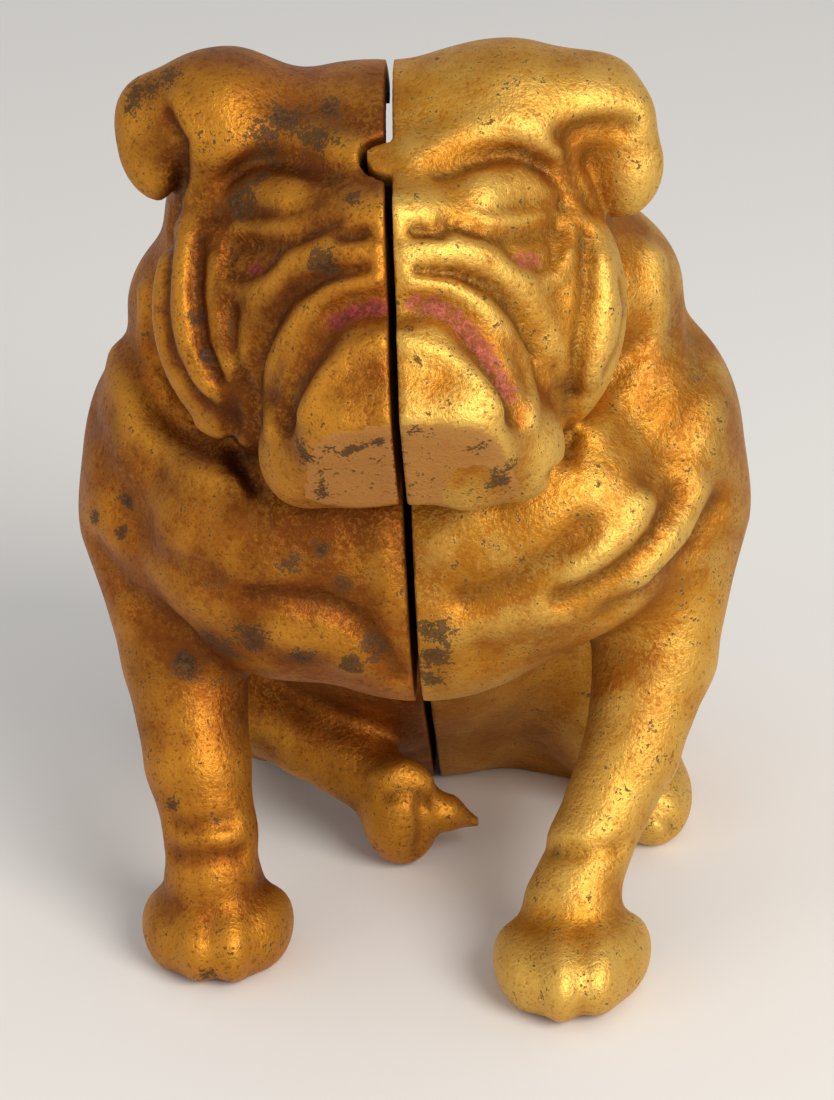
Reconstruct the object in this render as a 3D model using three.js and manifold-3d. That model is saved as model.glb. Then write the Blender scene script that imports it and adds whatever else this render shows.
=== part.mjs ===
// Seated bulldog still bank: two hollow iron half castings that meet at the dog's middle plane
// and are drawn together by one long machine screw through the body.
// Millimetres. +Z is up, the dog looks along -Y, and its own left side is +X.
// The origin is on the floor, under the middle of the finished bank.
import * as THREE from 'three';
import { mergeVertices } from 'three/addons/utils/BufferGeometryUtils.js';
import Module from 'manifold-3d';

const wasm = await Module();
wasm.setup();

// ---- Driving sizes -------------------------------------------------------------------------

const bankHeight = 98;          // floor to crown
const bankWidth = 73;           // across the shoulders
const bankLength = 83;          // chin to rump
const wall = 3;                 // iron left between the outer skin and the hollow
const seamGap = 0.8;            // the two castings never close up completely
const slotLength = 28;          // coin slot, along the back of the neck
const slotWidth = 3;            // coin slot, half of it in each casting
const tongueRadius = 2.1;       // round locating tongue on the forehead
const screwDiameter = 4.17;     // No. 8 machine screw, over the thread
const threadPitch = 25.4 / 32;  // 32 threads to the inch
const threadTurns = 16;         // turns of thread inside the tapped boss
const boreClearance = 0.35;     // screw to its holes, all round
const bossWall = 2.4;           // iron around the screw holes
const headDiameter = 7.4;       // round slotted screw head
const headHeight = 2.6;
const headClearance = 0.6;      // head to the wall of its recess
const driverSlotWidth = 1.2;
const driverSlotDepth = 1.1;
const seatClearance = 0.3;      // under the head, so that the pieces never share a face

// The sculpture below is drawn at this size and stretched to the driving sizes.
const sculptHeight = 98;
const sculptWidth = 73;
const sculptLength = 83;
const stretch = new THREE.Vector3(
  bankWidth / sculptWidth, bankLength / sculptLength, bankHeight / sculptHeight);

// The screw crosses the body level, through the flanks.
const screwY = 19 * stretch.y;
const screwZ = 40 * stretch.z;
const headSeatX = 21.8 * stretch.x;               // floor of the head's recess in the left flank
const threadLength = threadTurns * threadPitch;   // thread held by the right casting
const screwTipX = -seamGap / 2 - threadLength;

const fine = [18, 11];          // segments round and from pole to pole on the large masses
const coarse = [12, 8];         // on the small ones

// ---- Solids --------------------------------------------------------------------------------

function solidOf(geometry) {
  const bare = geometry.clone();
  bare.deleteAttribute('normal');
  bare.deleteAttribute('uv');
  const merged = mergeVertices(bare, 1e-4);
  return new wasm.Manifold(new wasm.Mesh({
    numProp: 3,
    vertProperties: new Float32Array(merged.attributes.position.array),
    triVerts: new Uint32Array(merged.index.array),
  }));
}

function geometryOf(solid) {
  const mesh = solid.getMesh();
  const geometry = new THREE.BufferGeometry();
  geometry.setAttribute('position', new THREE.BufferAttribute(mesh.vertProperties, 3));
  geometry.setIndex(new THREE.BufferAttribute(mesh.triVerts, 1));
  geometry.computeVertexNormals();
  return geometry;
}

function joined(solids) {
  return solids.reduce((all, one) => all.add(one));
}

// A box given by its lowest and highest corners.
function block(low, high) {
  const size = new THREE.Vector3().subVectors(high, low);
  const geometry = new THREE.BoxGeometry(size.x, size.y, size.z);
  geometry.translate(...new THREE.Vector3().addVectors(low, high).multiplyScalar(0.5).toArray());
  return solidOf(geometry);
}

// A round bar along X through the screw's axis.
function barAlongX(radius, fromX, toX, sides = 24) {
  const geometry = new THREE.CylinderGeometry(radius, radius, Math.abs(toX - fromX), sides);
  geometry.rotateZ(Math.PI / 2);
  geometry.translate((fromX + toX) / 2, screwY, screwZ);
  return solidOf(geometry);
}

// ---- Sculpture -----------------------------------------------------------------------------

// An egg-shaped mass: centre, half sizes, and a lean in degrees about X, Y and Z.
// inset takes an even layer off it, which is how the hollow follows the outer skin.
function mass({ at, half, lean = [0, 0, 0], segments = coarse }, inset = 0) {
  const radii = new THREE.Vector3(...half).multiply(stretch).subScalar(inset);
  const turn = new THREE.Euler(...lean.map(THREE.MathUtils.degToRad));
  const geometry = new THREE.SphereGeometry(1, ...segments);
  geometry.rotateX(Math.PI / 2);
  geometry.applyMatrix4(new THREE.Matrix4().compose(
    new THREE.Vector3(...at).multiply(stretch),
    new THREE.Quaternion().setFromEuler(turn),
    radii));
  return solidOf(geometry);
}

// A tapered limb with round ends, from one joint to the next.
function limb(from, fromRadius, to, toRadius, sides = 14) {
  const a = new THREE.Vector3(...from);
  const b = new THREE.Vector3(...to);
  const length = a.distanceTo(b);
  const steps = 4;
  const profile = [];
  for (let i = 0; i <= steps; i += 1) {
    const angle = -Math.PI / 2 + (i / steps) * (Math.PI / 2);
    profile.push(new THREE.Vector2(Math.cos(angle) * fromRadius, Math.sin(angle) * fromRadius));
  }
  for (let i = 0; i <= steps; i += 1) {
    const angle = (i / steps) * (Math.PI / 2);
    profile.push(new THREE.Vector2(Math.cos(angle) * toRadius, length + Math.sin(angle) * toRadius));
  }
  profile[0].x = 0;
  profile[profile.length - 1].x = 0;
  const geometry = new THREE.LatheGeometry(profile, sides);
  const direction = new THREE.Vector3().subVectors(b, a).normalize();
  geometry.applyQuaternion(
    new THREE.Quaternion().setFromUnitVectors(new THREE.Vector3(0, 1, 0), direction));
  geometry.translate(...from);
  geometry.scale(...stretch.toArray());
  return solidOf(geometry);
}

function mirrored(part) {
  const [x, y, z] = part.at;
  const [leanX, leanY, leanZ] = part.lean ?? [0, 0, 0];
  return { ...part, at: [-x, y, z], lean: [leanX, -leanY, -leanZ] };
}

// The masses that are hollow inside, from the rump forward and up to the skull.
const hollowMasses = [
  { at: [0, 36, 20], half: [25, 17.5, 23], segments: fine },                    // rump
  { at: [0, 24, 33], half: [26, 20, 21], segments: fine },                      // loins and belly
  { at: [0, 11, 49], half: [30, 24, 20], segments: fine },                      // rib cage
  { at: [0, -1, 45], half: [25, 14, 13.5], segments: fine },                    // chest
  { at: [0, 10, 67], half: [29.3, 18, 15], lean: [-8, 0, 0], segments: fine },  // neck
  { at: [0, 3, 80], half: [22, 14, 15.5], lean: [-12, 0, 0], segments: fine },  // skull
];

// Solid iron on the casting's outside, one of each pair; the other side is its mirror.
const pairedMasses = [
  { at: [27, 9, 51], half: [9.5, 14, 14.5], lean: [12, 0, 0] },                 // shoulder blade
  { at: [15, -5, 47.5], half: [13, 9.5, 12] },                                  // breast
  { at: [20, 30, 19], half: [10.5, 16.5, 18.5], lean: [10, 0, 0] },             // haunch
  { at: [12, -5, 72.2], half: [12, 7.5, 14.5], lean: [-20, 0, -14] },           // cheek
  { at: [10.6, -17, 61.8], half: [4.8, 5, 5.6] },                               // hanging jowl
];

// Solid iron that is on the middle plane, or that the two sides of the dog don't share.
const singleMasses = [
  { at: [0, -6, 39.5], half: [13, 8.5, 9.5], lean: [20, 0, 0] },                // brisket
  { at: [11.3, 3, 91], half: [9.5, 9, 6.6] },                                   // left crown
  { at: [-15.8, 3, 91.4], half: [7.5, 9, 6.6] },                                // right crown
  { at: [-4, 3, 88.5], half: [9, 9, 6.6] },                                     // top of the skull
  { at: [20.5, 4, 92], half: [5, 6, 4.2] },                                     // root of the left ear
  { at: [23.1, 1, 84.7], half: [4.2, 3.2, 5.4], lean: [-12, 8, 0] },            // left ear, folded
  { at: [-20.2, 1, 93], half: [5, 5, 3.4] },                                    // root of the right ear
  { at: [-23.7, 1, 89.2], half: [4.2, 3.4, 6.2], lean: [-12, -6, 0] },          // right ear, folded
  { at: [0, -8.5, 77.5], half: [14.5, 11, 11.5], lean: [-16, 0, 0] },           // muzzle
  { at: [0, -13.5, 70], half: [13, 11.5, 10.5], lean: [-16, 0, 0] },            // lips
  { at: [0.8, -16, 65.3], half: [11.6, 12, 9], lean: [-14, 0, 0] },             // lower jaw
  { at: [0, 51.5, 22], half: [4, 3.4, 6], lean: [10, 0, 0] },                   // stub of a tail
];

// A leg from joint to joint, each joint a centre and a radius.
function leg(joints) {
  return joined(joints.slice(1).map(([x, y, z, radius], i) => {
    const [fromX, fromY, fromZ, fromRadius] = joints[i];
    return limb([fromX, fromY, fromZ], fromRadius, [x, y, z], radius);
  }));
}

// Solid legs of the left (+X) casting.
const leftLegs = [
  leg([[27, 6, 44, 8.5], [25.2, 0, 29, 6.2], [22.2, -6, 21, 4.7], [17, -13, 13, 4.6],
    [15.6, -15, 8.5, 5.2]]),
  mass({ at: [15, -18.5, 4.2], half: [8.3, 8.6, 5.6] }),
  leg([[20.5, 27, 13, 8.5], [24, 22, 6, 5.6]]),
  mass({ at: [25.2, 18.5, 4], half: [5, 10, 5.2] }),
];

// Solid legs of the right (-X) casting. Its hind leg is drawn in under the belly and its paw
// reaches past the middle plane.
const rightLegs = [
  leg([[-27, 6, 45, 9], [-25.4, 0, 31, 6.4], [-24.4, -6, 21, 5.6], [-23.2, -9, 14.5, 5],
    [-23.4, -10, 10, 5.2]]),
  mass({ at: [-23.6, -10.5, 4.4], half: [8.2, 8, 5.8] }),
];
const crossedLeg = [
  leg([[-22, 21, 16.5, 6.5], [-14, 16, 13.2, 4.6], [-7.5, 12, 10, 4.2]]),
  mass({ at: [-3.7, 9, 6.8], half: [4.6, 4.5, 6.6] }),
  leg([[-2, 9, 7, 3], [1.5, 9, 6.3, 2], [4.8, 10, 4.4, 0.8]]),
];

const reach = 2 * Math.max(bankHeight, bankWidth, bankLength);
const belowFloor = block(
  new THREE.Vector3(-reach, -reach, -reach), new THREE.Vector3(reach, reach, 0));
const leftSide = block(
  new THREE.Vector3(seamGap / 2, -reach, -reach), new THREE.Vector3(reach, reach, reach));
const rightSide = block(
  new THREE.Vector3(-reach, -reach, -reach), new THREE.Vector3(-seamGap / 2, reach, reach));

const outerSkin = joined([
  ...[...hollowMasses, ...singleMasses].map((part) => mass(part)),
  ...pairedMasses.flatMap((part) => [mass(part), mass(mirrored(part))]),
]);

const floorOfHollow = block(
  new THREE.Vector3(-reach, -reach, -reach), new THREE.Vector3(reach, reach, wall));
const hollow = joined(hollowMasses.map((part) => mass(part, wall))).subtract(floorOfHollow);

// The coin slot cuts through the nape, leaning forward with the neck.
function coinSlot() {
  const depth = 30;
  const geometry = new THREE.BoxGeometry(slotWidth, depth, slotLength);
  geometry.rotateX(THREE.MathUtils.degToRad(28));
  geometry.translate(0, 20.3 * stretch.y, 78.5 * stretch.z);
  return solidOf(geometry);
}

// The forehead's locating tongue: a short round bar, square to the slope of the forehead, that
// stops inside the hollow.
function tongue(radius) {
  const length = 20;
  const geometry = new THREE.CylinderGeometry(radius, radius, length, 16);
  geometry.rotateX(THREE.MathUtils.degToRad(-60));
  geometry.translate(0, -9 * stretch.y, 88.5 * stretch.z);
  return solidOf(geometry);
}

// ---- Castings ------------------------------------------------------------------------------

const boreRadius = screwDiameter / 2 + boreClearance;
const bossRadius = boreRadius + bossWall;
const shell = outerSkin.subtract(hollow).subtract(coinSlot());
const leftLeg = joined(leftLegs).subtract(hollow);
const rightLeg = joined(rightLegs).intersect(rightSide).subtract(hollow);

// Left casting: tongue at the forehead, a plain tube for the screw and a recess for its head.
const leftBoss = barAlongX(bossRadius, seamGap / 2, reach / 4).intersect(outerSkin);
const recessRadius = headDiameter / 2 + headClearance;
const recessWall = barAlongX(recessRadius + wall, headSeatX - wall, headSeatX + headHeight)
  .intersect(outerSkin);
const leftCasting = joined([
  shell.intersect(leftSide),
  tongue(tongueRadius).intersect(shell),
  leftBoss,
  recessWall,
  leftLeg,
])
  .subtract(belowFloor)
  .subtract(barAlongX(boreRadius, -reach, reach))
  .subtract(barAlongX(recessRadius, headSeatX, reach));

// Right casting: notch at the forehead and a tapped boss with a blind end.
const tapDepth = threadLength + 2;
const rightBoss = barAlongX(bossRadius, -seamGap / 2, -reach / 4).intersect(outerSkin);
const rightCasting = joined([
  shell.intersect(rightSide),
  rightBoss,
  rightLeg,
  joined(crossedLeg).subtract(hollow),
])
  .subtract(tongue(tongueRadius + seamGap))
  .subtract(belowFloor)
  .subtract(barAlongX(boreRadius, 0, -seamGap / 2 - tapDepth));

// ---- Screw ---------------------------------------------------------------------------------

function assemblyScrew() {
  const underHead = headSeatX + seatClearance;
  const headRadius = headDiameter / 2;
  const shankRadius = screwDiameter / 2;
  const tipChamfer = threadPitch;
  const domeSteps = 5;
  const profile = [
    new THREE.Vector2(0, screwTipX),
    new THREE.Vector2(shankRadius - tipChamfer, screwTipX),
    new THREE.Vector2(shankRadius, screwTipX + tipChamfer),
    new THREE.Vector2(shankRadius, underHead),
  ];
  for (let i = 0; i <= domeSteps; i += 1) {
    const angle = (i / domeSteps) * (Math.PI / 2);
    profile.push(new THREE.Vector2(
      headRadius * Math.cos(angle), underHead + headHeight * Math.sin(angle)));
  }
  profile[profile.length - 1].x = 0;
  const geometry = new THREE.LatheGeometry(profile, 24);
  geometry.rotateZ(-Math.PI / 2);
  geometry.translate(0, screwY, screwZ);
  const driverSlot = block(
    new THREE.Vector3(underHead + headHeight - driverSlotDepth, screwY - headDiameter,
      screwZ - driverSlotWidth / 2),
    new THREE.Vector3(reach, screwY + headDiameter, screwZ + driverSlotWidth / 2));
  return solidOf(geometry).subtract(driverSlot);
}

// ---- Assembly ------------------------------------------------------------------------------

const finishes = {
  brightGold: { color: 0xc9972f, roughness: 0.45, metalness: 0.7 },
  dullGold: { color: 0xa0661f, roughness: 0.55, metalness: 0.6 },
  darkSteel: { color: 0x4f463c, roughness: 0.5, metalness: 0.9 },
};

function piece(name, solid, finish) {
  const mesh = new THREE.Mesh(geometryOf(solid), new THREE.MeshStandardMaterial(finishes[finish]));
  mesh.name = name;
  return mesh;
}

const bank = new THREE.Group();
bank.add(
  piece('left_half_casting', leftCasting, 'brightGold'),
  piece('right_half_casting', rightCasting, 'dullGold'),
  piece('assembly_screw', assemblyScrew(), 'darkSteel'),
);

// Centre the bank over the origin.
const middle = new THREE.Box3().setFromObject(bank).getCenter(new THREE.Vector3());
bank.position.set(-middle.x, -middle.y, 0);

export default bank;
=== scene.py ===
import math

import bpy
import numpy as np
from mathutils import Matrix, Vector


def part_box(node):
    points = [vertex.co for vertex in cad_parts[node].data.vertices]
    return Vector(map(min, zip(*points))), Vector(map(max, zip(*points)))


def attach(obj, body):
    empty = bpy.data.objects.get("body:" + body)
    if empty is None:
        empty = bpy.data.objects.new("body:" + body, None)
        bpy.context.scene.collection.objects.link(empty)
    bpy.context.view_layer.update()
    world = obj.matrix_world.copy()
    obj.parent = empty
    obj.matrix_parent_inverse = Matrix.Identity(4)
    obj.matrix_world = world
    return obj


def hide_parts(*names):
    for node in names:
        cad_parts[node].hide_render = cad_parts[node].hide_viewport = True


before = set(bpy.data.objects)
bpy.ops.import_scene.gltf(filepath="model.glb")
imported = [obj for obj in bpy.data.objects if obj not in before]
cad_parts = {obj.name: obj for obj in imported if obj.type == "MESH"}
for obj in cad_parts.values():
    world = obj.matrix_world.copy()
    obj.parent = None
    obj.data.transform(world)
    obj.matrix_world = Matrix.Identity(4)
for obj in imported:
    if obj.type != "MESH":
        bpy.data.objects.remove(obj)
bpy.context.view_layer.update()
bpy.ops.object.select_all(action="DESELECT")

# ---- Camera ---------------------------------------------------------------------------------
# It looks down on the dog's face from a little to the dog's left, and is held slightly askew.
# The screw fixes where the sculpture stands: it crosses the body 19 mm behind the sculptor's
# zero line and 40 mm above the floor.
screw_low, screw_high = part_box("assembly_screw")
screw_middle = (screw_low + screw_high) / 2
dog_at = Vector((0, screw_middle.y - 0.019, screw_middle.z - 0.040))
look_yaw, look_down, look_roll = math.radians(2.5), math.radians(24), math.radians(-3.2)
look_at = Vector((0.00024, 0, 0.04339))
look_from = look_at - 0.320 * Vector((-math.sin(look_yaw) * math.cos(look_down),
                                      math.cos(look_yaw) * math.cos(look_down), -math.sin(look_down)))
bpy.ops.object.camera_add(location=look_from + dog_at)
camera = bpy.context.object
camera.rotation_mode = "QUATERNION"
camera.rotation_quaternion = ((look_at - look_from).to_track_quat("-Z", "Y")
                              @ Matrix.Rotation(look_roll, 3, "Z").to_quaternion())
camera.data.sensor_fit = "VERTICAL"
camera.data.sensor_height = 36
camera.data.sensor_width = 36
camera.data.lens = 97.93
camera.data.clip_start, camera.data.clip_end = 0.01, 20
bpy.context.scene.camera = camera

# ---- The foundry pattern --------------------------------------------------------------------
# Both castings are poured from one pattern: the seated dog, modelled in clay and sawn in two
# down the middle. Millimetres: x to the dog's left, y to its back, z up from the floor.
clay_step = 0.5


class Clay:
    """How far each point of a grid lies outside (+) or inside (-) the dog."""

    def __init__(self, low, high, step):
        self.low, self.step = np.array(low, float), step
        count = [int(round((b - a) / step)) + 1 for a, b in zip(low, high)]
        self.field = np.full(count, 8.0, np.float32)

    def window(self, low, high):
        first = np.clip(np.floor((np.array(low) - self.low) / self.step).astype(int), 0, None)
        last = np.ceil((np.array(high) - self.low) / self.step).astype(int) + 1
        last = np.minimum(last, self.field.shape)
        part = tuple(slice(a, max(a, b)) for a, b in zip(first, last))
        axes = [(self.low[i] + self.step * np.arange(part[i].start, part[i].stop)).astype(np.float32)
                for i in range(3)]
        return part, np.meshgrid(*axes, indexing="ij", sparse=True)

    def join(self, part, shape, soft, cut=False):
        """Adds or cuts a shape, with a fillet of about its softness."""
        old = self.field[part]
        if cut:
            shape = -shape
        blend = np.maximum(soft - np.abs(old - shape), 0) ** 2 / (4 * soft)
        self.field[part] = np.maximum(old, shape) + blend if cut else np.minimum(old, shape) - blend

    def egg(self, at, half, lean=(0, 0, 0), soft=3.0):
        at, half = np.array(at, np.float32), np.array(half, np.float32)
        turn = np.array(Matrix.Rotation(math.radians(lean[2]), 3, "Z")
                        @ Matrix.Rotation(math.radians(lean[1]), 3, "Y")
                        @ Matrix.Rotation(math.radians(lean[0]), 3, "X"), np.float32)
        reach = np.sqrt(((turn * half) ** 2).sum(1)) + soft + 2 * self.step
        part, (x, y, z) = self.window(at - reach, at + reach)
        x, y, z = x - at[0], y - at[1], z - at[2]
        local = [x * turn[0, i] + y * turn[1, i] + z * turn[2, i] for i in range(3)]
        near = np.sqrt(sum((c / h) ** 2 for c, h in zip(local, half)))
        slope = np.sqrt(sum((c / h ** 2) ** 2 for c, h in zip(local, half))) + 1e-6
        self.join(part, near * (near - 1) / slope, soft)

    def limb(self, joints, soft=2.0):
        """A bent round bar through (x, y, z, radius) joints."""
        joints = np.array(joints, np.float32)
        reach = joints[:, 3].max() + soft + 2 * self.step
        part, grid = self.window(joints[:, :3].min(0) - reach, joints[:, :3].max(0) + reach)
        shape = None
        for a, b in zip(joints[:-1], joints[1:]):
            t, away = self.off_line(grid, a[:3], b[:3])
            bar = np.sqrt(away) - (a[3] + t * (b[3] - a[3]))
            if shape is None:
                shape = bar
            else:
                shape = np.minimum(shape, bar) - np.maximum(1 - np.abs(shape - bar), 0) ** 2 / 4
        self.join(part, shape, soft)

    def off_line(self, grid, a, b):
        """How far along a line each point of the grid is, and its distance from it, squared."""
        x, y, z = grid
        ab = b - a
        t = ((x - a[0]) * ab[0] + (y - a[1]) * ab[1] + (z - a[2]) * ab[2]) / (ab @ ab + 1e-9)
        t = np.clip(t, 0, 1)
        away = ((x - a[0] - t * ab[0]) ** 2 + (y - a[1] - t * ab[1]) ** 2
                + (z - a[2] - t * ab[2]) ** 2)
        return t, away

    def stroke(self, points, width, height):
        """Raises the skin along a line, or with a negative height sinks it, as a tool does."""
        points = np.array(points, np.float32)
        reach = 2.5 * width + self.step
        part, grid = self.window(points.min(0) - reach, points.max(0) + reach)
        near = None
        for a, b in zip(points[:-1], points[1:]):
            away = self.off_line(grid, a, b)[1]
            near = away if near is None else np.minimum(near, away)
        self.field[part] -= height * np.exp(-near / width ** 2)

    def slice_off(self, at, facing, radius, soft=0.5):
        """Files the skin flat, as far as the radius from the spot."""
        at, facing = np.array(at, np.float32), np.array(facing, np.float32)
        facing /= np.linalg.norm(facing)
        part, (x, y, z) = self.window(at - radius, at + radius)
        x, y, z = x - at[0], y - at[1], z - at[2]
        flat = -(x * facing[0] + y * facing[1] + z * facing[2])
        self.join(part, np.maximum(flat, np.sqrt(x * x + y * y + z * z) - radius), soft, cut=True)

    def value(self, points):
        """The field at any points, read between those of the grid."""
        p = (np.asarray(points, np.float64) - self.low) / self.step
        p = np.clip(p, 0, np.array(self.field.shape) - 1.001)
        i = p.astype(int)
        f = p - i
        total = 0
        for corner in np.ndindex(2, 2, 2):
            weight = np.prod(np.where(corner, f, 1 - f), axis=-1)
            x, y, z = (i[..., axis] + corner[axis] for axis in range(3))
            total = total + weight * self.field[x, y, z]
        return total


# The face and the front are drawn as they are seen, on upright planes, and every point is
# carried along its line of sight to the depth of the part that it belongs to.
eye = np.array(look_from) * 1000
face_plane, leg_plane, chin_height = -15.0, -12.0, 52
chin_plane_at, chin_plane_faces, chin_plane_reach = (0.8, 59.3, -23.9), (0, -0.86, -0.51), 12


def seen(x, z, y, plane=face_plane):
    """The point at depth y that is seen at (x, z) on an upright plane."""
    spot = np.array((x, plane, z))
    return tuple(eye + (spot - eye) * (y - eye[1]) / (plane - eye[1]))


def on_skin(clay, points, plane=face_plane, gap=1.5):
    """The drawn line, laid onto the clay."""
    drawn = []
    for a, b in zip(points[:-1], points[1:]):
        count = max(1, int(math.dist(a, b) / gap))
        drawn += [(a[0] + (b[0] - a[0]) * i / count, a[1] + (b[1] - a[1]) * i / count)
                  for i in range(count)]
    drawn.append(points[-1])
    laid = []
    depths = np.arange(-30, 45, 0.25)
    for x, z in drawn:
        sight = np.array([seen(x, z, y, plane) for y in depths])
        hit = np.flatnonzero(clay.value(sight) < 0)
        if len(hit):
            laid.append(sight[hit[0]])
    return laid


def crossed_leg(clay):
    """The right hind leg, drawn in under the belly, and its turned-over paw."""
    clay.limb([(-22, 22, 17, 7), (-14, 16, 13.2, 4.8), (-7.5, 12, 10, 4.2)], soft=3)
    clay.egg((-3.7, 9, 6.8), (4.6, 4.5, 6.6), soft=2)
    clay.limb([(-2, 9, 7, 3), (1.5, 9, 6.3, 2), (4.8, 10, 4.4, .6)], soft=1)


def body_masses(clay):
    egg, limb = clay.egg, clay.limb
    egg((0, 36, 20), (24, 17.5, 21.5), soft=6)                                # rump
    egg((0, 25, 33), (25, 20, 21), soft=8)                                    # loins
    egg((0, 12, 49), (30, 22, 20), soft=8)                                    # rib cage
    egg((0, 0, 46), (24, 14, 13), soft=6)                                     # chest
    egg((1, -5.5, 38.2), (14, 8.5, 9.5), lean=(20, 0, 0), soft=5)             # brisket
    egg((-14, -3, 38.5), (8, 8.5, 7), soft=4)
    egg((0, 10, 68.5), (29.6, 17, 15.5), lean=(-8, 0, 0), soft=5)             # neck
    egg((-19.5, 8, 79), (5, 9, 7), soft=3)
    for side in (1, -1):
        egg((side * 26.6, 9, 51), (9.2, 14, 14.5), lean=(12, 0, 0), soft=4)   # shoulder blade
        egg((side * 15, -5, 47.5), (13, 9.5, 12), soft=5)                     # breast
    # left haunch and the hind foot beside it
    egg((20, 29.5, 19), (10.5, 16.5, 18), lean=(10, 0, 0), soft=5)
    limb([(6, 40.5, 3, 6.5), (15, 35, 3, 6.5), (23, 30, 3, 6)], soft=4)
    limb([(20.5, 28, 12, 8), (23.6, 23, 5.5, 4.8)], soft=3)
    egg((25.2, 17, 3.6), (4.9, 9, 5), soft=2)
    # right haunch, whose leg is drawn in under the belly
    egg((-20, 35.5, 19), (10.5, 15.5, 18), lean=(10, 0, 0), soft=5)
    limb([(-6, 43, 3, 6.5), (-14, 43, 3, 6.5), (-20, 41, 3, 6)], soft=4)
    egg((-4.5, 21, 17.5), (5.5, 6.5, 8), soft=3)
    # left foreleg
    limb([(27, 6, 44, 8.8), (25.4, 0, 30, 6.6), (22.4, -6, 21.5, 5.1), (17.4, -12.5, 13.5, 4.4),
          (15.6, -15, 9, 4.8)], soft=4)
    limb([(15, -16, 6, 4.8), (14.6, -20, 4.2, 4.6)], soft=3)
    egg((10.2, -20.5, 3.8), (3.3, 6.4, 4.2), lean=(0, 0, 12), soft=2)
    egg((13.8, -22.4, 4.2), (3.2, 6.6, 4.6), soft=1.6)
    egg((17.8, -21.6, 4.1), (3.2, 6.4, 4.4), lean=(0, 0, -6), soft=1.6)
    egg((20.6, -18.5, 3.6), (2.8, 5.6, 3.9), lean=(0, 0, -14), soft=2)
    # right foreleg
    limb([(-27, 6, 45, 9), (-25.6, 0, 32, 6.8), (-24.5, -6, 22, 5.6), (-23.4, -9, 15, 4.9),
          (-23.5, -10, 10.5, 5.1)], soft=4)
    limb([(-23.6, -8, 6, 5.4), (-23.4, -11.5, 4.4, 5)], soft=3)
    egg((-28.6, -10.5, 3.8), (3, 5.6, 4.2), lean=(0, 0, 14), soft=2)
    egg((-25.3, -12.6, 4.2), (3, 6, 4.6), lean=(0, 0, 5), soft=1.6)
    egg((-21.2, -13, 4.2), (3, 6, 4.6), lean=(0, 0, -3), soft=1.6)
    egg((-18, -10.8, 3.8), (2.7, 5.4, 4.1), lean=(0, 0, -12), soft=2)
    crossed_leg(clay)
    egg((0, 51.5, 22), (4, 3.8, 6), lean=(10, 0, 0), soft=3)                   # stub of a tail


def head_masses(clay):
    egg, limb = clay.egg, clay.limb
    egg((0, 3, 81), (20.5, 14, 14.5), lean=(-18, 0, 0), soft=4)
    egg(seen(11.5, 96, 3), (9.5, 9, 6.6), soft=4)
    egg(seen(20, 96.6, 4), (5, 6, 4.2), soft=3)
    egg(seen(-4, 93, 3), (9, 9, 6.6), soft=4)
    egg(seen(-15, 96.4, 3), (7.5, 9, 6.6), soft=4)
    # ears, folded over: a ridge along the top and a hanging flap
    limb([seen(13.5, 93.6, -2) + (2.4,), seen(19, 95.2, 0) + (2.4,), seen(23.3, 94.2, 1) + (2.6,)],
         soft=3)
    egg(seen(22.6, 89.5, 1), (4.2, 3.2, 5.2), lean=(-12, 8, 0), soft=2)
    limb([seen(-15, 96.5, -1) + (2.6,), seen(-18, 98, 1) + (2.6,), seen(-22, 97, 2) + (3.2,)], soft=4)
    egg(seen(-21.7, 93.8, 1), (4.2, 3.4, 6.0), lean=(-12, -6, 0), soft=2)
    # the cheeks hang as a shield in front of the neck
    egg(seen(11.5, 75.5, -5), (11.8, 7.5, 14.5), lean=(-20, 0, -14), soft=2)
    egg(seen(-12, 76, -5), (12.2, 7.5, 14.5), lean=(-20, 0, 14), soft=2)
    # muzzle, lower jaw and the jowls at its corners
    egg((0, -8.5, 77.5), (14.5, 11, 11.5), lean=(-16, 0, 0), soft=5)
    egg((0, -13.5, 70), (13, 11.5, 10.5), lean=(-16, 0, 0), soft=3)
    egg(seen(6, 64.8, -16), (7.2, 11.4, 9), lean=(-14, 0, 0), soft=1.5)
    egg(seen(-4.6, 64.8, -16), (7, 11.4, 9), lean=(-14, 0, 0), soft=2)
    egg(seen(0.8, 65, -16), (9, 11.8, 9), lean=(-14, 0, 0), soft=2)
    egg(seen(11.4, 61, -17), (4.8, 5, 5.6), soft=2.5)
    egg(seen(-9.8, 61.2, -17), (4.6, 5, 5.6), soft=2.5)
    clay.slice_off(seen(*chin_plane_at), chin_plane_faces, chin_plane_reach)


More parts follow.
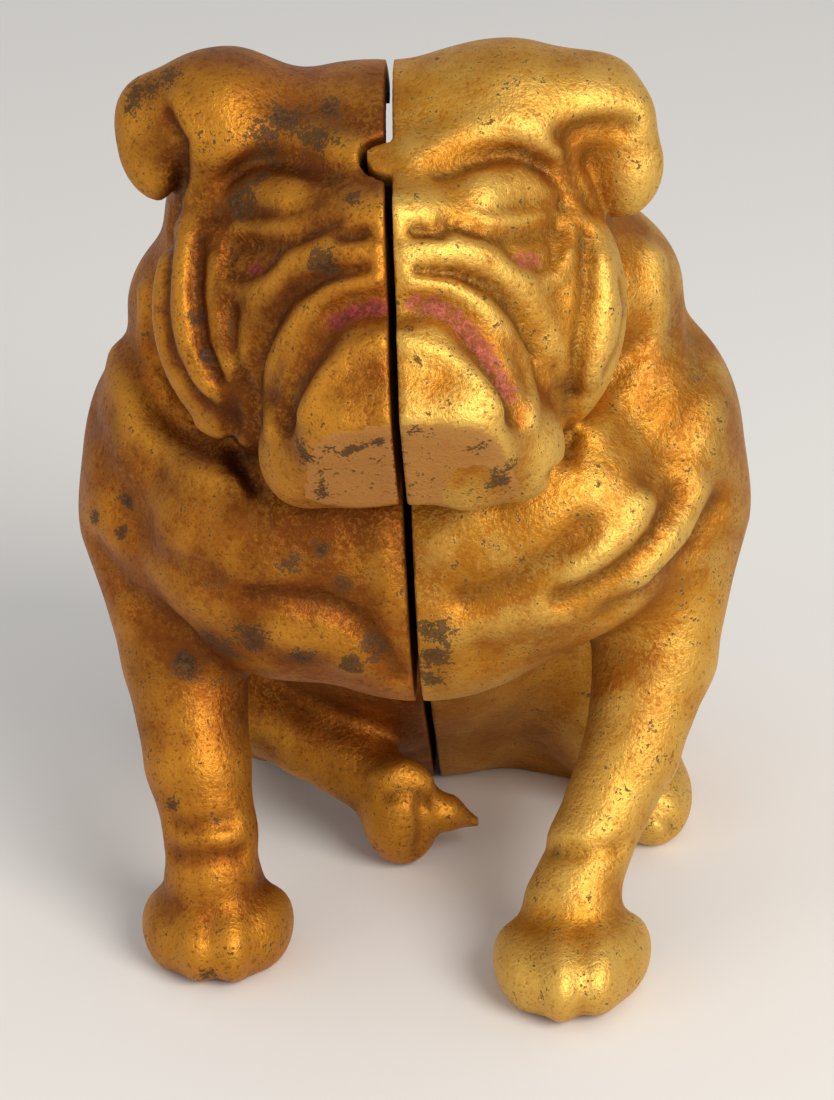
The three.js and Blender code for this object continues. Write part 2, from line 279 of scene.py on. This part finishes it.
def strokes(clay):
    def draw(points, width, height, plane=face_plane):
        laid = on_skin(clay, points, plane)
        if len(laid) > 1:
            clay.stroke(laid, width, height)

    def pair(points, width, height, lift=0.4):
        draw(points, width, height)
        draw([(-x, z + lift) for x, z in points], width, height)

    # brow, lids, eye
    pair([(3, 91.5), (7, 93.2), (12, 94), (16, 92), (18, 88)], 1.8, 1.0)
    pair([(5.2, 89.5), (10, 90.9), (13, 91), (15, 89.5), (16.5, 86)], 1.2, -0.8)
    pair([(9.5, 87.4), (12.4, 88.2), (15, 87.2)], 2.2, 1.5)
    pair([(9.5, 85.6), (12.5, 85.8), (15.5, 86)], 0.9, -0.45)
    pair([(9.6, 84.4), (12, 84.3), (14.4, 84.7)], 1.3, 0.8)
    draw([(5.5, 84.4), (8, 83.6), (11, 82.9), (14, 82.9), (16.4, 83.6)], 1.0, -0.9)
    draw([(-5, 85), (-8.5, 83.6), (-12, 82.8), (-15.2, 82.8)], 1.1, -0.8)
    pair([(11.5, 80.9), (13.5, 81.2), (15.5, 81)], 1.9, -0.8)
    pair([(12.4, 80.9), (14.2, 80.9)], 1.1, 1.3)
    pair([(10.5, 79.6), (12, 78.4), (14, 77.9), (16, 78.7), (17, 80.7)], 0.8, 1.0)
    # nose and nostrils
    pair([(0, 86), (3.2, 86)], 2.2, 0.9, lift=0)
    pair([(2.6, 83.8), (4.8, 83.2)], 0.8, -1.2, lift=0)
    # muzzle fold, upper lip, gum and mouth
    pair([(1.5, 81.4), (6, 82), (10, 80.5), (13, 77.5), (14.7, 73.5), (15.3, 69)], 1.5, 1.3)
    pair([(2.5, 79.8), (6, 79.3), (9.8, 77.7), (12, 74.5), (13.2, 70.5)], 0.7, -0.9)
    pair([(1.5, 78.9), (6, 77.9), (9, 75.5), (10.9, 73), (12.3, 70.5), (12.9, 67), (12.9, 63.5)],
         0.9, 1.1)
    pair([(1.2, 75.8), (4, 76), (6, 74.8), (8.3, 71.6), (10.7, 67.5), (11.4, 64.5)], 1.2, -2.2)
    pair([(1, 72.4), (4.5, 71.2), (7.4, 68.5), (9.6, 65)], 0.9, 0.9)
    # outline of the jowls
    pair([(15.8, 69), (16.8, 66), (17, 63), (16.4, 60), (15, 57.6)], 0.9, -1.5, lift=0.2)
    # cheek folds
    draw([(19, 83), (18.8, 77), (18.4, 74), (17.8, 71), (17.2, 66.5)], 0.8, -1.1)
    draw([(20.6, 80), (21, 76), (20.3, 71), (19, 68)], 1.2, 0.7)
    draw([(22.2, 78), (22.6, 75), (22, 71.5), (20.5, 68.5)], 0.7, -0.5)
    draw([(-20.5, 88), (-22, 82), (-22.8, 77), (-22.4, 72), (-20.2, 67.6), (-17, 65.2)], 0.9, -1.3)
    draw([(-19.5, 86), (-20.7, 80), (-21, 75), (-20, 70), (-17.8, 67)], 1.0, 0.8)
    draw([(-18.6, 84), (-19.2, 79), (-19.1, 73.5), (-17.8, 69.5)], 0.8, -1.4)
    draw([(-17, 82), (-17.9, 78), (-17.6, 73), (-16.4, 69), (-15.2, 66.5)], 0.9, 0.8)
    draw([(-15.8, 76), (-16.2, 72), (-15, 68)], 0.7, -0.8)
    draw([(-24.3, 79), (-24.9, 73.5), (-24, 70.3), (-22.3, 67), (-19.7, 64.5), (-15.7, 62.9)], 0.9, 0.9)
    # ears
    draw([(16.8, 92.8), (20, 93.6), (23.2, 93.4)], 1.0, -1.5)
    draw([(17.3, 92), (18.2, 88.5), (19.6, 85.5)], 0.9, -0.8)
    draw([(-19.6, 98), (-17.9, 94), (-18.3, 90.5), (-19.3, 88)], 0.8, 0.9)
    draw([(-20.6, 96.5), (-19.3, 93.8), (-19.6, 90.5), (-20.4, 88.5)], 0.8, -0.9)
    # ruff of the neck, outside the cheeks
    draw([(25.5, 80), (25.8, 75), (24.8, 70), (22, 65.5), (19, 62)], 1.6, 1.0)
    draw([(29.5, 75), (30, 69), (28.5, 62.5), (24.5, 57)], 2.2, -0.9)
    draw([(-27, 77), (-27.8, 71), (-26, 64.5), (-22, 60.5), (-17, 58.5)], 1.6, 1.0)
    draw([(-29.8, 73.5), (-31, 66), (-30, 60), (-27, 54.5)], 2.2, -1.0)

    # chest folds between the breast and the shoulders
    def low(points, width, height):
        draw(points, width, height, leg_plane)

    low([(5.5, 43), (10, 44.3), (15, 47.5), (18, 50.5)], 1.6, -1.0)
    low([(15.5, 42.5), (21, 45.5), (25, 49), (27.5, 54)], 1.5, -1.2)
    low([(20.5, 41), (24.5, 43.5), (29, 48), (31.5, 52.5)], 1.6, -1.0)
    low([(17, 45.5), (22, 49), (24, 53)], 1.8, 0.8)
    low([(23.5, 44.5), (28, 50), (29.5, 54)], 1.8, 0.8)
    low([(3, 39), (9, 40), (15, 41)], 2.0, 0.6)
    low([(3, 49), (6, 52.5), (7.5, 56)], 2.2, 0.8)
    low([(-17, 44.2), (-13, 44), (-9, 43.3), (-6, 41.5), (-4, 38.5), (-2.2, 34.5)], 1.2, -1.1)
    low([(-13, 40), (-9.5, 39.5), (-7, 37)], 2.6, 1.2)
    low([(-21, 46), (-26, 49), (-29, 54)], 2.0, -0.9)
    low([(-24, 41), (-29, 44.5), (-32, 50)], 2.0, -0.9)
    low([(-2.5, 43), (-2.6, 48), (-3, 53)], 1.6, 0.7)
    # wrists, toes and the rough paw
    low([(-28.5, 18), (-25, 17.4), (-21, 17.8)], 1.0, -0.7)
    low([(-27.5, 14), (-24, 13.4), (-20, 13.8)], 1.1, -0.9)
    low([(12, 13.2), (16, 12.4), (20.5, 12.8)], 1.1, -0.7)
    low([(24.6, 17.5), (26.2, 16), (26.8, 13)], 0.8, -1.0)
    low([(-4.5, 22.5), (-2, 23.6), (0.5, 22)], 1.0, 0.8)
    low([(-4.2, 20), (-1.5, 20.6), (0.8, 19.4)], 0.8, -0.7)
    low([(-0.6, 19), (-0.8, 15.5), (-1.4, 13)], 0.7, -0.6)


def dog(step):
    clay = Clay((-38.5, -31, -1), (38.5, 57, 100), step)
    body_masses(clay)
    head_masses(clay)
    strokes(clay)
    return clay

# ---- Castings
# Hollow iron: everything deeper than the wall is core, which the founder knocks out. The
# skin of each half is drawn through the clay's zero level, one point to a grid cell.
mm = 0.001
wall, seam_gap = 3.0, 0.8
floor_of_hollow = 3.0
screw_y, screw_z = 19.0, 40.0
shank_radius, bore_radius, boss_radius = 2.085, 2.435, 4.835
head_seat_x, recess_radius = 21.8, 4.3
tap_end_x = -(seam_gap / 2 + 16 * 25.4 / 32 + 2)


def core(step, shape):
    clay = Clay(shape.low, shape.low + step * (np.array(shape.field.shape) - 1), step)
    clay.egg((0, 36, 20), (21, 14.5, 18.5), soft=6)
    clay.egg((0, 25, 33), (22, 17, 18), soft=8)
    clay.egg((0, 12, 49), (27, 19, 17), soft=8)
    clay.egg((0, 0, 46), (21, 11, 10), soft=6)
    clay.egg((0, 10, 68.5), (26, 14, 12.5), lean=(-8, 0, 0), soft=5)
    clay.egg((0, 4, 81), (17, 10.5, 11), lean=(-18, 0, 0), soft=4)
    return clay.field


def smooth_field(field, spread):
    """The field averaged over about the spread, in grid steps."""
    reach = int(2.5 * spread)
    weights = np.exp(-0.5 * (np.arange(-reach, reach + 1) / spread) ** 2)
    weights /= weights.sum()
    for axis in range(3):
        padded = np.pad(field, [(reach, reach) if i == axis else (0, 0) for i in range(3)], mode="edge")
        count = field.shape[axis]
        total = np.zeros_like(field)
        for i, weight in enumerate(weights.astype(np.float32)):
            part = [slice(None)] * 3
            part[axis] = slice(i, i + count)
            total += weight * padded[tuple(part)]
        field = total
    return field


def skin_of(field, low, step):
    """Points and four-sided faces where the field is zero."""
    inside = field < 0
    size = tuple(n - 1 for n in field.shape)
    count = np.zeros(size, np.int8)
    corners = list(np.ndindex(2, 2, 2))
    for corner in corners:
        part = tuple(slice(c, c + n) for c, n in zip(corner, size))
        count += inside[part]
    cells = np.argwhere((count > 0) & (count < 8))
    number = np.full(size, -1, np.int32)
    number[tuple(cells.T)] = np.arange(len(cells))
    total = np.zeros((len(cells), 3))
    crossed = np.zeros(len(cells))
    for axis in range(3):
        for corner in corners:
            if corner[axis]:
                continue
            first = cells + corner
            last = first.copy()
            last[:, axis] += 1
            a, b = field[tuple(first.T)], field[tuple(last.T)]
            cut = (a < 0) != (b < 0)
            t = a[cut] / (a[cut] - b[cut])
            spot = first[cut].astype(float)
            spot[:, axis] += t
            total[cut] += spot
            crossed[cut] += 1
    points = low + step * total / crossed[:, None]
    faces = []
    for axis in range(3):
        b, c = (axis + 1) % 3, (axis + 2) % 3
        part = [slice(1, -1)] * 3
        part[axis] = slice(0, -1)
        ahead = list(part)
        ahead[axis] = slice(1, None)
        here, there = inside[tuple(part)], inside[tuple(ahead)]
        for out, way in ((here & ~there, 1), (~here & there, -1)):
            edge = np.argwhere(out)
            edge[:, b] += 1
            edge[:, c] += 1
            ring = []
            for db, dc in ((1, 1), (0, 1), (0, 0), (1, 0)):
                cell = edge.copy()
                cell[:, b] -= db
                cell[:, c] -= dc
                ring.append(number[tuple(cell.T)])
            faces.append(np.stack(ring[::way], axis=1))
    return points, np.concatenate(faces)


def poured(name, field, pattern, tris=190000):
    """One casting: the field's skin as a mesh, thinned where it is flat."""
    points, faces = skin_of(field, pattern.low, pattern.step)
    mesh = bpy.data.meshes.new(name)
    mesh.vertices.add(len(points))
    place = points * mm + np.array(dog_at)
    mesh.vertices.foreach_set("co", place.astype(np.float32).ravel())
    mesh.loops.add(faces.size)
    mesh.loops.foreach_set("vertex_index", faces.astype(np.int32).ravel())
    mesh.polygons.add(len(faces))
    mesh.polygons.foreach_set("loop_start", np.arange(0, faces.size, 4, dtype=np.int32))
    mesh.update(calc_edges=True)
    mesh.validate()
    casting = bpy.data.objects.new(name, mesh)
    bpy.context.collection.objects.link(casting)
    bpy.ops.object.select_all(action="DESELECT")
    bpy.context.view_layer.objects.active = casting
    casting.select_set(True)
    thin = casting.modifiers.new("thinned", "DECIMATE")
    thin.ratio = min(1, tris / (2 * len(faces)))
    bpy.ops.object.modifier_apply(modifier=thin.name)
    bpy.ops.object.shade_smooth()
    print(name, len(faces), "faces,", len(casting.data.polygons), "kept")
    return casting


def mark(casting, name, values):
    """Keeps one number for each point of the casting, for its paint to read."""
    layer = casting.data.attributes.new(name, "FLOAT", "POINT")
    layer.data.foreach_set("value", np.asarray(values, np.float32))


def points_of(casting):
    place = np.zeros(len(casting.data.vertices) * 3, np.float32)
    casting.data.vertices.foreach_get("co", place)
    return (place.reshape(-1, 3) - np.array(dog_at)) / mm


pattern = dog(clay_step)
axes = [(low + pattern.step * np.arange(count)).astype(np.float32)
        for low, count in zip(pattern.low, pattern.field.shape)]
grid_x, grid_y, grid_z = np.meshgrid(*axes, indexing="ij", sparse=True)
outer = pattern.field
hollow = np.maximum(core(pattern.step, pattern), floor_of_hollow - grid_z)
from_screw = np.sqrt((grid_y - screw_y) ** 2 + (grid_z - screw_z) ** 2)
boss = np.maximum(outer, from_screw - boss_radius)

# coin slot down the nape, half of it in each casting
slot_width, slot_length, slot_deep, slot_lean = 3.0, 28.0, 15.0, math.radians(28)
slot_y, slot_z = 20.3, 78.5
slot_up = (grid_z - slot_z) * math.cos(slot_lean) - (grid_y - slot_y) * math.sin(slot_lean)
slot_in = (grid_z - slot_z) * math.sin(slot_lean) + (grid_y - slot_y) * math.cos(slot_lean)
coin_slot = np.maximum(np.maximum(abs(grid_x) - slot_width / 2, abs(slot_up) - slot_length / 2),
                       abs(slot_in) - slot_deep)
shell = np.maximum(np.maximum(outer, -hollow), -coin_slot)

# the crossed leg belongs to the right casting even where it passes the seam
crossed = Clay(pattern.low, pattern.low + clay_step * (np.array(outer.shape) - 1), clay_step)
crossed_leg(crossed)
paw_skirt = 1.0
near_paw = crossed.field - paw_skirt

# round locating tongue on the forehead, and the notch that takes it
tongue_radius, tongue_half_length = 2.1, 10
tongue_y, tongue_z = -9, 88.5
forehead_up, forehead_back = 0.5, 0.866     # the way the forehead slopes there
tongue_up = (grid_z - tongue_z) * forehead_up + (grid_y - tongue_y) * forehead_back
from_tongue = np.sqrt(grid_x ** 2 + tongue_up ** 2)
along_tongue = (grid_z - tongue_z) * forehead_back - (grid_y - tongue_y) * forehead_up
at_forehead = abs(along_tongue) - tongue_half_length
tongue = np.maximum(np.maximum(from_tongue - tongue_radius, at_forehead), shell)
notch = np.maximum(from_tongue - tongue_radius - seam_gap, at_forehead)

fine_blur = smooth_field(outer, 0.9 / clay_step)
broad_blur = smooth_field(fine_blur, 2.2 / clay_step)


def blurred_at(points, field):
    look = Clay(pattern.low, pattern.low, pattern.step)
    look.field = field
    return look.value(points)


def near_line(points, line):
    """Distance from each point to a line laid on the skin."""
    best = np.full(len(points), 99.0)
    for a, b in zip(line[:-1], line[1:]):
        a, b = np.array(a), np.array(b)
        ab = b - a
        t = np.clip((points - a) @ ab / (ab @ ab + 1e-9), 0, 1)
        best = np.minimum(best, np.linalg.norm(points - a - t[:, None] * ab, axis=1))
    return best


def paint_marks(casting, gums, chips):
    """What the paint needs to know: hollows and ridges, the red gums, and where it has worn off."""
    points = points_of(casting)
    skin = pattern.value(points)
    # crease and ridge carry the painted shade in the hollows and the painted highlight on the ridges
    mark(casting, "crease", -(blurred_at(points, fine_blur) - skin))
    mark(casting, "ridge", blurred_at(points, broad_blur) - skin)
    mark(casting, "inside", np.clip(-skin - 1.0, 0, 1))
    red = np.full(len(points), 9.0)
    for line, width in gums:
        red = np.minimum(red, near_line(points, on_skin(pattern, line)) / width)
    mark(casting, "red", np.clip(1.6 - red, 0, 1))
    worn = np.zeros(len(points))
    for x, z, size in chips:
        plane = face_plane if z > chin_height else leg_plane
        for spot in on_skin(pattern, [(x, z), (x + 0.01, z)], plane)[:1]:
            worn = np.maximum(worn, 1.3 - np.linalg.norm(points - spot, axis=1) / size)
    mark(casting, "worn", np.clip(worn, 0, 1))
    off_chin = points - np.array(seen(*chin_plane_at))
    filed = ((abs(off_chin @ np.array(chin_plane_faces)) < 0.12)
             & (np.linalg.norm(off_chin, axis=1) < chin_plane_reach))
    mark(casting, "filed", filed * 1.0)


def hex_colour(code):
    """A linear colour from its sRGB hex code."""
    channels = [int(code[i:i + 2], 16) / 255 for i in (1, 3, 5)]
    return tuple(c / 12.92 if c <= 0.04045 else ((c + 0.055) / 1.055) ** 2.4 for c in channels) + (1,)


def add_node(tree, kind, settings=None, **links):
    """A node, its settings by socket or property name, and what feeds its sockets."""
    node = tree.nodes.new(kind)
    for name, value in (settings or {}).items():
        if isinstance(name, int) or name in node.inputs:
            node.inputs[name].default_value = value
        else:
            setattr(node, name, value)
    for name, source in links.items():
        tree.links.new(source, node.inputs[int(name[1:])] if name[0] == "_" and name[1:].isdigit()
                       else node.inputs[name.replace("_", " ")])
    return node


def bronze_paint(name, base, deep, light, red_paint, worn_share):
    """Gold bronze paint: metal flakes in varnish, laid by brush over rough cast iron. It has a
    soft metallic gloss. Its ridges are painted lighter, partly rubbed bright and partly a painted
    highlight, and its creases darker brown, partly grime and partly painted shade."""
    material = bpy.data.materials.new(name)
    material.use_nodes = True
    tree = material.node_tree
    shader = tree.nodes["Principled BSDF"]
    where = add_node(tree, "ShaderNodeTexCoord").outputs["Object"]

    def noise(scale, detail=3, rough=0.6):
        settings = {"Scale": scale, "Detail": detail, "Roughness": rough}
        return add_node(tree, "ShaderNodeTexNoise", settings, Vector=where).outputs["Fac"]

    def ramp(source, low, high, to_low=0, to_high=1):
        return add_node(tree, "ShaderNodeMapRange", {1: low, 2: high, 3: to_low, 4: to_high},
                        Value=source).outputs[0]

    def sum_of(a, b, operation="ADD"):
        return add_node(tree, "ShaderNodeMath", {"operation": operation}, _0=a, _1=b).outputs[0]

    def mix(share, a, b):
        node = add_node(tree, "ShaderNodeMix", {"data_type": "RGBA"}, _0=share)
        for socket, colour in ((node.inputs[6], a), (node.inputs[7], b)):
            if isinstance(colour, str):
                socket.default_value = hex_colour(colour)
            else:
                tree.links.new(colour, socket)
        return node.outputs[2]

    def layer(attribute):
        return add_node(tree, "ShaderNodeAttribute", {"attribute_name": attribute}).outputs["Fac"]

    cloudy, blotchy, speckle, grain = noise(55, 4), noise(240, 5), noise(1300, 3), noise(3200, 2)
    flecks = sum_of(speckle, grain)
    colour = mix(ramp(cloudy, 0.36, 0.64), deep, base)
    # painted highlight on the ridges, partly real rubbing: convex parts are mixed towards the light
    # gold
    colour = mix(ramp(sum_of(layer("ridge"), blotchy), 0.55, 1.3, 0, 0.75), colour, light)
    colour = mix(ramp(sum_of(blotchy, flecks), 1.5, 1.95, 0, 0.6), colour, light)
    colour = mix(ramp(sum_of(blotchy, flecks), 1.42, 1.05, 0, 0.7), colour, deep)
    colour = mix(ramp(flecks, 0.86, 0.68, 0, 0.5), colour, deep)
    patchy = ramp(flecks, 0.7, 1.3, 1.0, 0.6)
    # painted shade in the creases, together with grime: the hollows are mixed towards dark brown
    crease_shade_and_dirt = sum_of(ramp(layer("crease"), 0.03, 0.45, 0, 0.85), patchy, "MULTIPLY")
    colour = mix(crease_shade_and_dirt, colour, "#4a2409")
    colour = mix(ramp(layer("filed"), 0.4, 0.6, 0, 0.8), colour, "#b07a3c")
    red = ramp(sum_of(layer("red"), ramp(flecks, 0.7, 1.3, -0.7, 0.45)), 0.3, 0.8, 0, 0.75)
    red_tone = mix(ramp(flecks, 0.85, 1.2), red_paint[0], red_paint[1])
    colour = mix(red, colour, red_tone)
    ragged = ramp(sum_of(noise(480, 4), flecks), 1.1, 1.9, -1.1, 0.8)
    wear = ramp(sum_of(layer("worn"), ragged), 0.3, 0.62, 0, worn_share)
    colour = mix(wear, colour, mix(ramp(flecks, 0.85, 1.15), "#22150a", "#54350f"))
    inside = layer("inside")
    colour = mix(inside, colour, "#4a2c16")
    tree.links.new(colour, shader.inputs["Base Color"])
    filed = ramp(layer("filed"), 0.4, 0.6, 0, 0.6)
    dull = sum_of(sum_of(wear, inside, "MAXIMUM"), sum_of(red, filed, "MAXIMUM"), "MAXIMUM")
    tree.links.new(ramp(dull, 0, 1, 0.86, 0.5), shader.inputs["Metallic"])
    rough = sum_of(ramp(sum_of(blotchy, flecks), 1.2, 1.8, 0.58, 0.46), ramp(dull, 0, 1, 0, 0.2))
    tree.links.new(rough, shader.inputs["Roughness"])
    pitted = sum_of(ramp(speckle, 0.35, 0.7, 0, 0.6), ramp(wear, 0, 1, 0, -0.5))
    height = sum_of(ramp(grain, 0.3, 0.7, 0, 0.3), pitted)
    bump = add_node(tree, "ShaderNodeBump", {"Strength": 0.5, "Distance": 0.0002}, Height=height)
    tree.links.new(bump.outputs["Normal"], shader.inputs["Normal"])
    return material


# ---- Left casting ---------------------------------------------------------------------------
# The dog's left half in hollow cast iron, with the tongue at its forehead, a plain tube for the
# screw and a recess in its flank for the head. Gold bronze paint, lighter than the other half's:
# partly brighter paint, partly painted light for the side that faces the lamp.
seat_wall = np.maximum(outer, from_screw - recess_radius - wall)
seat_wall = np.maximum(seat_wall, head_seat_x - wall - grid_x)
left = np.minimum(np.minimum(shell, boss), seat_wall)
left = np.maximum(left, seam_gap / 2 - grid_x)
left = np.maximum(left, seam_gap - near_paw)
left = np.minimum(left, np.maximum(tongue, -grid_x - tongue_radius))
left = np.maximum(left, -np.maximum(from_screw - bore_radius, -grid_x))
left = np.maximum(left, -np.maximum(from_screw - recess_radius, head_seat_x - grid_x))
left = np.maximum(left, -grid_z)
left_casting = poured("left_casting", left, pattern)
paint_marks(left_casting,
            [([(2, 76.6), (4.2, 76), (6.2, 74.4), (8.4, 71.2), (10.8, 66.8)], 1.0),
             ([(12.6, 80.4), (13.6, 80.4)], 0.9)],
            [(2.4, 39.5, 2.2), (2.2, 36.5, 2.4), (1.6, 34, 2), (9.3, 57.6, 1.7), (10.8, 58.8, 1.2),
             (1.4, 63, 0.9), (3.4, 62.7, 0.7), (5.8, 61.8, 0.8), (7.8, 60.8, 0.9), (1.2, 74, 0.8)])
# lighter base colours: brighter paint, and painted light for the side facing the lamp
left_casting.data.materials.append(bronze_paint(
    "bright_and_lit_gold_bronze_paint", "#c58a2a", "#965812", "#dcb357", ("#6e1c18", "#b4564e"), 0.88))
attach(left_casting, "left_half")
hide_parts("left_half_casting")

# ---- Right casting --------------------------------------------------------------------------
# The other half, with the tapped boss, the notch at the forehead and the crossed hind leg.
# Its paint is darker: partly browned, partly painted shade for the side turned from the lamp.
# It has gone through to dark iron in patches.
right = np.minimum(shell, boss)
right = np.maximum(right, seam_gap / 2 + grid_x)
right = np.minimum(right, np.maximum(outer, near_paw))
right = np.maximum(right, -notch)
right = np.maximum(right, -np.maximum(from_screw - bore_radius, tap_end_x - grid_x))
right = np.maximum(right, -grid_z)
right_casting = poured("right_casting", right, pattern)
paint_marks(right_casting,
            [([(-1.2, 76.2), (-3.4, 75.8), (-5.6, 74.8)], 0.9), ([(-12.8, 80.6), (-13.4, 80.6)], 0.6)],
            [(-22.5, 99, 2.6), (-20, 100.4, 1.8), (-24, 97.5, 1.6), (-9, 95.5, 3),
             (-11.5, 93.5, 2.6), (-6.5, 93.5, 2.4), (-5, 96.5, 1.6), (-14, 87.5, 2.2),
             (-12, 90, 1.4), (-6.5, 81, 2), (-3.5, 87.5, 1.4), (-19.2, 76, 1.2), (-19, 72, 1),
             (-20, 38.5, 3), (-17, 39.5, 2.6), (-24, 36.5, 2.2), (-4, 38, 2), (-6.5, 36, 1.8),
             (-12, 37, 2), (-34, 48.5, 2.2), (-12.5, 48, 1.4), (-9, 49.5, 1.2), (-31.5, 55, 1.2),
             (-29.5, 52, 1), (-28, 57, 1.1), (-7, 45, 1.2), (-27, 20, 1.2), (-10, 61.2, 1.8),
             (-2, 62.4, 0.6), (-4.6, 62, 0.8), (-7.4, 61.4, 1.1), (-25, -1, 1.5), (-20, -2.5, 1.5),
             (-8, 57, 1.5)])
# darker base colours: browned paint, and painted shade for the side turned from the lamp
right_casting.data.materials.append(bronze_paint(
    "browned_and_shaded_gold_bronze_paint", "#9a5712", "#6a3508", "#c98a2a", ("#4d0f14", "#9c2a3c"), 0.9))
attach(right_casting, "right_half")
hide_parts("right_half_casting")

# ---- Assembly screw -------------------------------------------------------------------------
# One steel machine screw, 32 threads an inch, with a domed head slotted for a driver.
pitch, thread_deep = 25.4 / 32, 0.48
under_head, head_radius, head_high = head_seat_x + 0.3, 3.7, 2.6
tip_x, thread_to = -(seam_gap / 2 + 16 * pitch), 8.0
bpy.ops.mesh.primitive_grid_add(x_subdivisions=420, y_subdivisions=32, size=2)
screw = bpy.context.object
screw.name = screw.data.name = "machine_screw"
profile_end = under_head + head_high
for vertex in screw.data.vertices:
    along, round_it = (vertex.co.x + 1) / 2, (vertex.co.y + 1) * math.pi
    x = tip_x + along * (under_head - tip_x)
    turn = (x / pitch - round_it / math.tau) % 1
    fade = min(1, max(0, (thread_to - x) / pitch)) * min(1, max(0.2, (x - tip_x) / pitch + 0.2))
    flank = min(1, abs(2 * turn - 1) * 1.25)
    radius = shank_radius - thread_deep * (fade * flank + (1 - fade) * (x < thread_to))
    vertex.co = Vector((x, screw_y + radius * math.cos(round_it),
                        screw_z + radius * math.sin(round_it))) * mm + dog_at
bpy.ops.object.mode_set(mode="EDIT")
bpy.ops.mesh.select_all(action="SELECT")
bpy.ops.mesh.remove_doubles(threshold=1e-6)
bpy.ops.mesh.select_all(action="DESELECT")
bpy.ops.mesh.select_non_manifold()
bpy.ops.mesh.fill_holes(sides=0)
bpy.ops.mesh.select_all(action="SELECT")
bpy.ops.mesh.normals_make_consistent(inside=False)
bpy.ops.object.mode_set(mode="OBJECT")
bpy.ops.object.shade_smooth_by_angle(angle=math.radians(35))
bpy.ops.object.transform_apply()
bpy.ops.mesh.primitive_uv_sphere_add(segments=64, ring_count=32, radius=1)
head = bpy.context.object
for vertex in head.data.vertices:
    up = max(vertex.co.z, 0)
    vertex.co = Vector((under_head + head_high * up, screw_y + head_radius * vertex.co.x,
                        screw_z + head_radius * vertex.co.y)) * mm + dog_at
bpy.ops.object.mode_set(mode="EDIT")
bpy.ops.mesh.select_all(action="SELECT")
bpy.ops.mesh.remove_doubles(threshold=1e-7)
bpy.ops.mesh.normals_make_consistent(inside=False)
bpy.ops.object.mode_set(mode="OBJECT")
driver_slot_width, driver_slot_depth = 1.2, 1.1
bpy.ops.mesh.primitive_cube_add(size=1)
driver_slot = bpy.context.object
for vertex in driver_slot.data.vertices:
    vertex.co = Vector((profile_end - driver_slot_depth + (vertex.co.x + 0.5) * 3,
                        screw_y + vertex.co.y * 9,
                        screw_z + vertex.co.z * driver_slot_width)) * mm + dog_at
cut = head.modifiers.new("driver_slot", "BOOLEAN")
cut.object, cut.operation, cut.solver = driver_slot, "DIFFERENCE", "EXACT"
bpy.context.view_layer.objects.active = head
bpy.ops.object.modifier_apply(modifier=cut.name)
bpy.data.objects.remove(driver_slot)
union = screw.modifiers.new("head", "BOOLEAN")
union.object, union.operation, union.solver = head, "UNION", "EXACT"
bpy.context.view_layer.objects.active = screw
bpy.ops.object.modifier_apply(modifier=union.name)
bpy.data.objects.remove(head)
steel = bpy.data.materials.new("bright_drawn_steel")
steel.use_nodes = True
tree = steel.node_tree
shader = tree.nodes["Principled BSDF"]
shader.inputs["Metallic"].default_value = 1
where = add_node(tree, "ShaderNodeTexCoord").outputs["Object"]
patina = add_node(tree, "ShaderNodeTexNoise", {"Scale": 900, "Detail": 4}, Vector=where).outputs["Fac"]
tone = add_node(tree, "ShaderNodeMix", {"data_type": "RGBA"}, _0=patina)
tone.inputs[6].default_value = hex_colour("#5b5046")
tone.inputs[7].default_value = hex_colour("#a39a8d")
tree.links.new(tone.outputs[2], shader.inputs["Base Color"])
dulling = add_node(tree, "ShaderNodeMapRange", {1: 0.3, 2: 0.7, 3: 0.28, 4: 0.55}, Value=patina)
tree.links.new(dulling.outputs[0], shader.inputs["Roughness"])
screw.data.materials.append(steel)
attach(screw, "screw")
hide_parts("assembly_screw")

# ---- Table and light ------------------------------------------------------------------------
# A white sheet under a large soft light in front, above and to the right, and a weak one on the left.
bpy.ops.mesh.primitive_plane_add(size=4)
sheet = bpy.context.object
sheet.name = "white_table"
paper = bpy.data.materials.new("matt_white_card")
paper.use_nodes = True
shader = paper.node_tree.nodes["Principled BSDF"]
shader.inputs["Base Color"].default_value = hex_colour("#e4e2de")
shader.inputs["Roughness"].default_value = 0.8
sheet.data.materials.append(paper)


def soft_light(name, place, aim, size, power, colour):
    bpy.ops.object.light_add(type="AREA", location=place)
    light = bpy.context.object
    light.name = name
    light.data.shape, light.data.size, light.data.energy = "DISK", size, power
    light.data.color = hex_colour(colour)[:3]
    light.rotation_mode = "QUATERNION"
    light.rotation_quaternion = (Vector(aim) - Vector(place)).to_track_quat("-Z", "Y")


soft_light("window", (0.42, -0.56, 0.46), (0, 0, 0.05), 0.45, 5.9, "#fffaf4")
soft_light("lamp_left", (-0.7, -0.5, 0.35), (0, 0, 0.05), 0.5, 1.0, "#fff6ee")
world = bpy.data.worlds.new("room")
bpy.context.scene.world = world
world.use_nodes = True
world.node_tree.nodes["Background"].inputs[0].default_value = hex_colour("#f3f3f4")
world.node_tree.nodes["Background"].inputs[1].default_value = 0.66
bpy.context.scene.view_settings.view_transform = "Standard"
